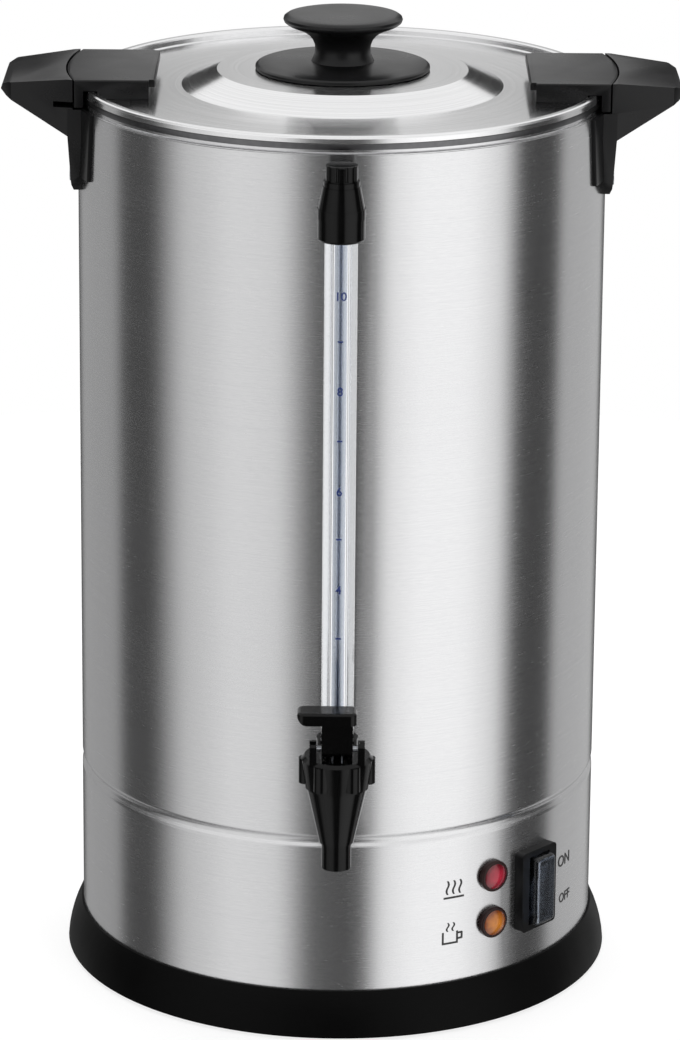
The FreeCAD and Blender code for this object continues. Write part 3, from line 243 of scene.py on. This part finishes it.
def clearTube():
    # clear glass, and two greys for the painted shade in the bore
    clear, boreShadeDeep, boreShadePale = (0.97, 0.985, 1.0), (0.20, 0.23, 0.30), (0.60, 0.64, 0.71)
    f = Finish("clearTube", clear, {"Transmission Weight": 1.0, "IOR": 1.47})
    haze = f.noise(scale=90.0, detail=2.0, stretch=(1, 1, 0.1))
    fromAxis = f.vector("MULTIPLY_ADD", a=f.place, b=(1, 1, 0), c=(0, -gauge["axisY"] * mm, 0))
    inner = f.spread(f.vector("LENGTH", "Value", a=fromAxis), *(r * mm for r in gauge["boreShade"]))
    across = f.maths("ABSOLUTE", f.axes()[0])
    # painted shade in the bore: greyish, darkest at its middle
    boreShade = f.mix(f.spread(across, *(x * mm for x in gauge["boreShadeCore"])), (*boreShadeDeep, 1), (*boreShadePale, 1))
    f.feed("Base Color", f.mix(inner, boreShade, (*clear, 1)))
    f.feed("Roughness", f.spread(haze, *spans["thin"], toLow=0.01, toHigh=0.04))
    return f.material


def smokyBoot():
    f = Finish("smokyBoot", (0.5, 0.55, 0.62), {"Transmission Weight": 1.0, "IOR": 1.41})
    haze = f.noise(scale=140.0, detail=3.0)
    f.greys(haze, (0.40, 0.45, 0.53), (0.56, 0.61, 0.70))
    f.feed("Roughness", f.spread(haze, *spans["haze"], toLow=0.10, toHigh=0.18))
    return f.material


def lampLens(name, height, deep, pale):    # painted shade: darker towards its edge, lighter at its middle
    f = Finish(name, pale, {"IOR": 1.49, "Coat Weight": 0.4, "Coat Roughness": 0.04})
    ribs = f.noise(scale=420.0, detail=1.0)
    middle = Vector((0, -lampFace["radius"], height)) * mm
    middle.rotate(Matrix.Rotation(math.radians(lampFace["azimuth"]), 3, "Z"))
    away = f.vector("DISTANCE", "Value", a=f.place, b=tuple(middle)) + ribs * (lampFace["waver"] * mm)
    f.greys(f.spread(away, lampFace["edge"] * mm, lampFace["core"] * mm), deep, pale)
    f.feed("Roughness", f.spread(ribs, *spans["full"], toLow=0.14, toHigh=0.22))
    return f.material


def softRubber(name, dark, light, rough):
    f = Finish(name, light)
    dust = f.noise(scale=260.0, detail=4.0)
    f.greys(dust, dark, light)
    f.feed("Roughness", f.spread(dust, *spans["full"], *rough))
    f.bump(dust, strength=0.12, depth=0.1)
    return f.material


# flat colours, for print and for painted shade
def inkAndPaintedShade(name, colour, rough, dark, light, grain=900.0, detail=2.0, metallic=0.0):
    f = Finish(name, colour, {"Roughness": rough, "Metallic": metallic})
    f.greys(f.noise(grain, detail), dark, light)
    return f.material


finishes = {
    "brushed_shell": brushedShell(),
    "lid_steel": spunLid(),
    "inner_steel": innerSteel(),
    "black_plastic": moulded("satinBlack", (0.004, 0.004, 0.0042), (0.007, 0.007, 0.0075), (0.24, 0.31),
                             shine=0.26),
    "tap_black": glossMoulding(),
    "base_black": moulded("ringBlack", (0.001, 0.001, 0.001), (0.002, 0.002, 0.002), (0.36, 0.46),
                          shine=0.07),
    "clear_tube": clearTube(),
    "smoky_boot": smokyBoot(),
    "red_lens": lampLens("redLens", lampFace["red"], (0.13, 0.003, 0.010), (0.50, 0.016, 0.045)),
    "amber_lens": lampLens("amberLens", lampFace["amber"], (0.20, 0.045, 0.006), (0.70, 0.24, 0.02)),
    "lamp_dark": moulded("lampRim", (0.012, 0.004, 0.004), (0.022, 0.007, 0.006), (0.20, 0.28),
                         grain=900.0, bump=0.08, shine=0.25),
    "silicone": softRubber("silicone", (0.66, 0.65, 0.60), (0.76, 0.75, 0.70), (0.45, 0.6)),
    "foot_rubber": softRubber("footRubber", (0.018, 0.018, 0.018), (0.034, 0.034, 0.034), (0.62, 0.8)),
    "zinc": plainMetal("zincPlate", (0.48, 0.50, 0.53), (0.64, 0.66, 0.70), (0.26, 0.40)),
    "plate_aluminium": plainMetal("castPlate", (0.58, 0.58, 0.58), (0.72, 0.72, 0.72), (0.45, 0.6),
                                  grain=500.0),
    "brass_pins": plainMetal("brassPins", (0.62, 0.46, 0.18), (0.80, 0.62, 0.28), (0.18, 0.28)),
    "red_button": moulded("redButton", (0.42, 0.02, 0.02), (0.58, 0.03, 0.03), (0.28, 0.36),
                          grain=900.0, bump=0.08),
    "phenolic": moulded("phenolic", (0.040, 0.028, 0.022), (0.062, 0.045, 0.036), (0.36, 0.48),
                        grain=1200.0, bump=0.15),
    "lead_sleeve": softRubber("leadSleeve", (0.52, 0.50, 0.44), (0.70, 0.68, 0.60), (0.6, 0.75)),
}
blueInk = inkAndPaintedShade("blueInk", (0.012, 0.03, 0.16), 0.4, (0.008, 0.022, 0.13), (0.016, 0.04, 0.20))
blackInk = inkAndPaintedShade("blackInk", (0.02, 0.02, 0.02), 0.45, (0.012, 0.012, 0.012), (0.03, 0.03, 0.03))
# painted shade: a dark steel for the band in the rim's neck
paintedNeckShade = inkAndPaintedShade("paintedNeckShade", (0.16, 0.16, 0.165), 0.3, (0.12, 0.12, 0.125), (0.20, 0.20, 0.205),
                     grain=300.0, detail=3.0, metallic=1.0)
for part in frame["record"]["subparts"]:
    cadPiece = nodes[part["node"]]
    for cadSlot in cadPiece.material_slots:
        cadSlot.material = finishes[part["material_slot"]]
print("finishes given to the CAD nodes")


# modelling steps
def pick(*pieces):    # the only ones selected, the first active
    if bpy.context.mode != "OBJECT":
        bpy.ops.object.mode_set(mode="OBJECT")
    bpy.ops.object.select_all(action="DESELECT")
    for piece in pieces:
        piece.select_set(True)
    if pieces:
        bpy.context.view_layer.objects.active = pieces[0]


def editAll(piece):
    pick(piece)
    bpy.ops.object.mode_set(mode="EDIT")
    bpy.ops.mesh.select_all(action="SELECT")


def smoothShade(piece, degrees):
    pick(piece)
    bpy.ops.object.shade_smooth_by_angle(angle=math.radians(degrees))


def settle(piece, name, body, slotName, *stoodFor):    # place into the mesh, then finish, body and slot
    pick(piece)
    bpy.ops.object.transform_apply(location=True, rotation=True, scale=True)
    piece.name = name
    piece.data.name = name
    piece.data.materials.clear()
    piece.data.materials.append(finishes[slotName])
    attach(piece, body)
    if stoodFor:
        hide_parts(*stoodFor)
    return piece


def settleWith(material, piece, name, slotName):    # on the urn, in a finish of its own
    settle(piece, name, "urn", slotName)
    piece.data.materials.clear()
    piece.data.materials.append(material)


def turnedPiece(outline, foot, sides):    # radius and rise pairs in mm, up the outside first
    pick()
    points = [(r * mm, (foot + rise) * mm) for r, rise in outline]
    closed = points[0][0] > 0 and points[-1][0] > 0
    rings = [point for point in points if point[0] > 0]
    radius, height = rings[0]
    bpy.ops.mesh.primitive_circle_add(vertices=sides, radius=radius, location=(0, 0, 0))
    piece = bpy.context.object
    editAll(piece)
    bpy.ops.transform.translate(value=(0, 0, height))
    for nextRadius, nextHeight in rings[1:] + (rings[:1] if closed else []):
        bpy.ops.mesh.extrude_region_move(TRANSFORM_OT_translate={"value": (0, 0, nextHeight - height)})
        grow = nextRadius / radius
        bpy.ops.transform.resize(value=(grow, grow, 1), center_override=(0, 0, nextHeight))
        radius, height = nextRadius, nextHeight
    bpy.ops.mesh.select_all(action="SELECT")
    bpy.ops.mesh.remove_doubles(threshold=0.002 * mm)
    if not closed:
        bpy.ops.mesh.select_all(action="DESELECT")
        bpy.ops.mesh.select_non_manifold()
        bpy.ops.mesh.fill_holes(sides=0)
    bpy.ops.mesh.select_all(action="SELECT")
    bpy.ops.mesh.normals_make_consistent(inside=False)
    smoothShade(piece, degrees=32)
    return piece


def ownCopy(node):    # a node's own shape as one welded mesh
    pick()
    piece = bpy.data.objects.new(node + "Soft", nodes[node].data.copy())
    bpy.context.scene.collection.objects.link(piece)
    editAll(piece)
    bpy.ops.mesh.remove_doubles(threshold=0.01 * mm)
    bpy.ops.object.mode_set(mode="OBJECT")
    return piece


def softenedCopy(node, width):    # the same with its hard edges rolled over
    flatWithin, edgeFrom = math.radians(3), math.radians(34)
    piece = ownCopy(node)
    editAll(piece)
    bpy.ops.mesh.dissolve_limited(angle_limit=flatWithin)
    bpy.ops.object.mode_set(mode="OBJECT")
    bpy.ops.mesh.customdata_custom_splitnormals_clear()
    rolled = piece.modifiers.new("rolled", "BEVEL")
    rolled.width = width * mm
    rolled.segments = 3
    rolled.limit_method = "ANGLE"
    rolled.angle_limit = edgeFrom
    rolled.use_clamp_overlap = True
    bpy.ops.object.modifier_apply(modifier=rolled.name)
    smoothShade(piece, degrees=40)
    return piece


def wrapRound(piece, radius, axisY, azimuth, height):    # bends flat work round an upright cylinder, mm
    for v in piece.data.vertices:
        angle = math.radians(azimuth) + v.co.x / (radius * mm)
        out = radius * mm + v.co.z
        v.co = (out * math.sin(angle), axisY * mm - out * math.cos(angle), height * mm + v.co.y)


# knob and its disc
knobFoot = 424.95
knobOutline = [(0, 0), (14.2, 0), (13.4, 1.65), (12.7, 3.65), (12.5, 5.65), (12.8, 7.65), (13.7, 9.85),
               (15.4, 11.95), (18.2, 13.95), (22.0, 15.65), (25.2, 16.95), (26.6, 18.05), (27.0, 19.15),
               (26.7, 20.15), (25.6, 20.95), (24.0, 21.35), (21.0, 21.43), (12.0, 21.51), (4.0, 21.55),
               (0, 21.55)]
settle(turnedPiece(knobOutline, knobFoot, sides=128), "knobGrip", "lid", "black_plastic", "lid_knob")
discFoot = 421.25
discOutline = [(0, 0), (38.6, 0), (39.4, 0.35), (39.6, 0.95), (39.5, 1.65), (39.0, 2.15), (38.0, 2.5),
               (30.0, 2.95), (17.0, 3.55), (14.6, 3.63), (0, 3.63)]
settle(turnedPiece(discOutline, discFoot, sides=144), "knobDisc", "lid", "black_plastic", "knob_base")
print("knob made")


# a dark steel band in the rim's neck, below the lid's edge: painted shade in place of the shadow gap and
# dark reflection there
neckFoot = 410.9
neckOutline = [(118.2, 0), (119.0, 0), (119.12, 0.3), (119.12, 2.2), (119.0, 2.55), (118.2, 2.55)]
neckRing = turnedPiece(neckOutline, neckFoot, sides=256)
settleWith(paintedNeckShade, neckRing, "paintedShadeBand", "brushed_shell")


# handles and lid blocks
rollWidth = {"handle": 1.3, "block": 1.2}
for side in ("left", "right"):
    grip = softenedCopy("handle_" + side, rollWidth["handle"])
    settle(grip, "grip_" + side, "urn", "black_plastic", "handle_" + side)
    block = softenedCopy("lid_block_" + side, rollWidth["block"])
    settle(block, "block_" + side, "lid", "black_plastic", "lid_block_" + side)
print("handles made")


# the tap's spring hangs from the bonnet's roof; in the real tap it shortens as the stem lifts, here it keeps
# one fixed shape on the urn
spring = ownCopy("tap_spring")
bpy.ops.mesh.customdata_custom_splitnormals_clear()
smoothShade(spring, degrees=60)
settle(spring, "springCoil", "urn", "zinc", "tap_spring")
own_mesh(spring)
print("spring made")


# printed marks
panel = {
    "radius": 120.0, "inkLift": 0.06, "line": 0.9, "steamLine": 0.8,
    "words": {"ON": (61.4, 61.0, 7.6), "OFF": (62.0, 42.5, 6.4)},    # azimuth, height and size
    "heat": (26.4, 66.5), "cup": (25.6, 44.5),    # azimuth and height
}
ink = {"letterThick": 0.05, "letterSwell": 0.06, "barThick": 0.1, "sway": 0.55}


def lettering(words, size):    # flat text in mm, made a mesh
    pick()
    bpy.ops.object.text_add()
    text = bpy.context.object.data
    text.body = words
    text.size = size * mm
    text.extrude = ink["letterThick"] * mm
    text.align_x = "CENTER"
    text.align_y = "CENTER"
    text.offset = ink["letterSwell"] * mm
    bpy.ops.object.convert(target="MESH")
    return bpy.context.object


def barMark(width, height, x=0.0, y=0.0):    # a short printed bar in mm, cut up so that it can bend
    pick()
    bpy.ops.mesh.primitive_cube_add(size=1)
    piece = bpy.context.object
    editAll(piece)
    bpy.ops.transform.resize(value=(width * mm, height * mm, ink["barThick"] * mm))
    bpy.ops.transform.translate(value=(x * mm, y * mm, 0))
    bpy.ops.mesh.subdivide(number_cuts=6)
    bpy.ops.object.mode_set(mode="OBJECT")
    return piece


def waveMark(x, low, tall, width):    # a printed line that rises in a soft S
    piece = barMark(width, tall)
    editAll(piece)
    bpy.ops.mesh.subdivide(number_cuts=2)
    bpy.ops.object.mode_set(mode="OBJECT")
    for v in piece.data.vertices:
        v.co.x += (x + ink["sway"] * math.sin(v.co.y / (tall * mm) * 2 * math.pi)) * mm
        v.co.y += (low + tall / 2) * mm
    return piece


def joined(parts):
    pick(*parts)
    bpy.ops.object.join()
    return bpy.context.object


def onGauge(piece, name, height):
    wrapRound(piece, gauge["radius"] + gauge["inkLift"], gauge["axisY"], 0, height)
    settleWith(blueInk, piece, name, "clear_tube")


def onPanel(piece, name, azimuth, height):
    wrapRound(piece, panel["radius"] + panel["inkLift"], 0, azimuth, height)
    settleWith(blackInk, piece, name, "brushed_shell")


for number, height in gauge["numbers"].items():
    onGauge(lettering(number, gauge["numberSize"]), "gaugeNumber" + number, height)
for step, height in enumerate(gauge["ticks"]):
    onGauge(barMark(*gauge["tick"]), "gaugeTick" + str(step), height)
for word, (azimuth, height, size) in panel["words"].items():
    onPanel(lettering(word, size), "panel" + word.title(), azimuth, height)

line = panel["line"]    # each bar's width, height, x and y, and each wave's x, foot, height and width, in mm
heatWaves = [waveMark(x, -2.6, 6.6, line) for x in (-3.2, 0.0, 3.2)]
onPanel(joined(heatWaves + [barMark(10.4, line, 0, -4.2)]), "panelHeatMark", *panel["heat"])
cup = [barMark(line, 5.6, -3.6, -1.6), barMark(line, 5.6, 3.6, -1.6), barMark(8.1, line, 0, -4.3)]
cupHandle = [barMark(2.2, line, 5.0, 0.2), barMark(line, 3.2, 6.0, -1.1), barMark(2.2, line, 5.0, -2.5)]
steam = [waveMark(x, 1.4, 4.2, panel["steamLine"]) for x in (-1.2, 1.6)]
onPanel(joined(cup + cupHandle + steam), "panelCupMark", *panel["cup"])
print("marks made")


# studio
studio = {
    "floorRadius": 0.9, "floorHeight": -0.0005, "floorGlow": 1.12, "floorShare": 0.7, "ambient": 0.3,
    "wallRadius": 2.7, "wallTop": 1.5, "wallFoot": -4.0, "shadeRadius": 0.3, "shade": 0.2,
    # azimuth and tone of the reflector ring: 0 is behind the camera, 90 on the right
    "tones": [(-180, 0.64), (-176, 0.52), (-170, 0.04), (-162, 0.04), (-154, 0.38), (-115, 0.38),
              (-107, 0.07), (-90, 0.07), (-66, 0.70), (-45, 0.88), (-28, 0.84), (-9, 0.12), (10, 0.08),
              (22, 1.04), (36, 1.2), (54, 1.2), (70, 0.98), (84, 0.06), (104, 0.06), (112, 0.50),
              (154, 0.52), (162, 0.04), (170, 0.04), (176, 0.58), (180, 0.64)],
}
white = (1, 1, 1, 1)


def toneAt(azimuth):
    for (a, toneA), (b, toneB) in zip(studio["tones"], studio["tones"][1:]):
        if azimuth <= b:
            t = (azimuth - a) / (b - a)
            t = t * t * (3 - 2 * t)
            return toneA + t * (toneB - toneA)
    return studio["tones"][-1][1]


def bareTree(holder):    # a material's or the world's own nodes, emptied
    holder.use_nodes = True
    holder.node_tree.nodes.clear()
    return holder.node_tree


def source(tree, kind, **values):
    node = tree.nodes.new(kind)
    for key, value in values.items():
        node.inputs[key].default_value = value
    return node.outputs[0]


def pair(tree, operation, a, b):
    node = tree.nodes.new("ShaderNodeMath")
    node.operation = operation
    tree.links.new(a, node.inputs[0])
    tree.links.new(b, node.inputs[1])
    return node


# one surface for the camera, gloss and glass, another for all other light
def seenOrElse(tree, outputKind, other, seen, share=1.0):
    path = tree.nodes.new("ShaderNodeLightPath").outputs
    direct = pair(tree, "MAXIMUM", path["Is Camera Ray"], path["Is Glossy Ray"])
    direct = pair(tree, "MAXIMUM", direct.outputs[0], path["Is Transmission Ray"])
    part = tree.nodes.new("ShaderNodeMath")
    part.operation = "MULTIPLY"
    part.inputs[1].default_value = share
    tree.links.new(direct.outputs[0], part.inputs[0])
    blend = tree.nodes.new("ShaderNodeMixShader")
    for slot, socket in enumerate((part.outputs[0], other, seen)):
        tree.links.new(socket, blend.inputs[slot])
    tree.links.new(blend.outputs[0], tree.nodes.new(outputKind).inputs["Surface"])


def reflectorRing():    # seen only in the steel and the gloss, never by the camera
    pick()
    place = (0, 0, studio["wallTop"])
    bpy.ops.mesh.primitive_circle_add(vertices=180, radius=studio["wallRadius"], location=place)
    ring = bpy.context.object
    ring.name = "reflectorRing"
    editAll(ring)
    drop = studio["wallFoot"] - studio["wallTop"]
    bpy.ops.mesh.extrude_region_move(TRANSFORM_OT_translate={"value": (0, 0, drop)})
    bpy.ops.mesh.extrude_region_move()
    shrink = studio["shadeRadius"] / studio["wallRadius"]
    bpy.ops.transform.resize(value=(shrink, shrink, 1), center_override=(0, 0, 0))
    bpy.ops.object.mode_set(mode="OBJECT")
    tone = ring.data.attributes.new("tone", "FLOAT", "POINT")
    for v in ring.data.vertices:
        atFoot = v.co.xy.length < studio["wallRadius"] / 2
        dim = studio["shade"] if atFoot else 1.0    # the well below is shaded
        tone.data[v.index].value = dim * toneAt(math.degrees(math.atan2(v.co.x, -v.co.y)))
    material = bpy.data.materials.new("reflectorTone")
    tree = bareTree(material)
    glow = tree.nodes.new("ShaderNodeEmission")
    read = tree.nodes.new("ShaderNodeAttribute")
    read.attribute_name = "tone"
    tree.links.new(read.outputs["Fac"], glow.inputs["Strength"])
    tree.links.new(glow.outputs[0], tree.nodes.new("ShaderNodeOutputMaterial").inputs["Surface"])
    ring.data.materials.append(material)
    ring.visible_camera = False
    ring.visible_diffuse = False
    ring.visible_shadow = False
    ring.visible_transmission = False


def studioFloor():
    pick()
    place = (0, 0, studio["floorHeight"])
    bpy.ops.mesh.primitive_circle_add(vertices=128, radius=studio["floorRadius"], fill_type="NGON",
                                      location=place)
    floor = bpy.context.object
    floor.name = "studioFloor"
    material = bpy.data.materials.new("paleFloor")
    tree = bareTree(material)
    matt = source(tree, "ShaderNodeBsdfDiffuse", Color=white)
    glow = source(tree, "ShaderNodeEmission", Strength=studio["floorGlow"])
    seenOrElse(tree, "ShaderNodeOutputMaterial", matt, glow, studio["floorShare"])
    floor.data.materials.append(material)
    floor.visible_glossy = False


def studioWorld():
    world = bpy.data.worlds.new("studioWorld")
    bpy.context.scene.world = world
    tree = bareTree(world)
    ambient = source(tree, "ShaderNodeBackground", Color=white, Strength=studio["ambient"])
    backdrop = source(tree, "ShaderNodeBackground", Color=white, Strength=1.0)
    seenOrElse(tree, "ShaderNodeOutputWorld", ambient, backdrop)


def softLamp(name, place, aim, size, power):
    pick()
    bpy.ops.object.light_add(type="AREA", location=place)
    lamp = bpy.context.object
    lamp.name = name
    lamp.data.shape = "RECTANGLE"
    lamp.data.size, lamp.data.size_y = size
    lamp.data.energy = power
    lamp.visible_glossy = False    # the reflector ring alone draws the steel's bands
    lamp.rotation_mode = "QUATERNION"
    lamp.rotation_quaternion = (Vector(aim) - Vector(place)).to_track_quat("-Z", "Y")


lamps = {
    "keyRight": {"place": (1.35, -1.7, 1.1), "aim": (0, 0, 0.2), "size": (1.0, 1.9), "power": 20},
    "fillLeft": {"place": (-1.6, -1.3, 1.2), "aim": (0, 0, 0.2), "size": (0.9, 1.7), "power": 9},
    "topSoft": {"place": (0.0, 0.3, 2.2), "aim": (0, 0, 0.3), "size": (1.3, 1.0), "power": 34},
}
studioWorld()
studioFloor()
reflectorRing()
for name, lamp in lamps.items():
    softLamp(name, **lamp)
print("studio set")
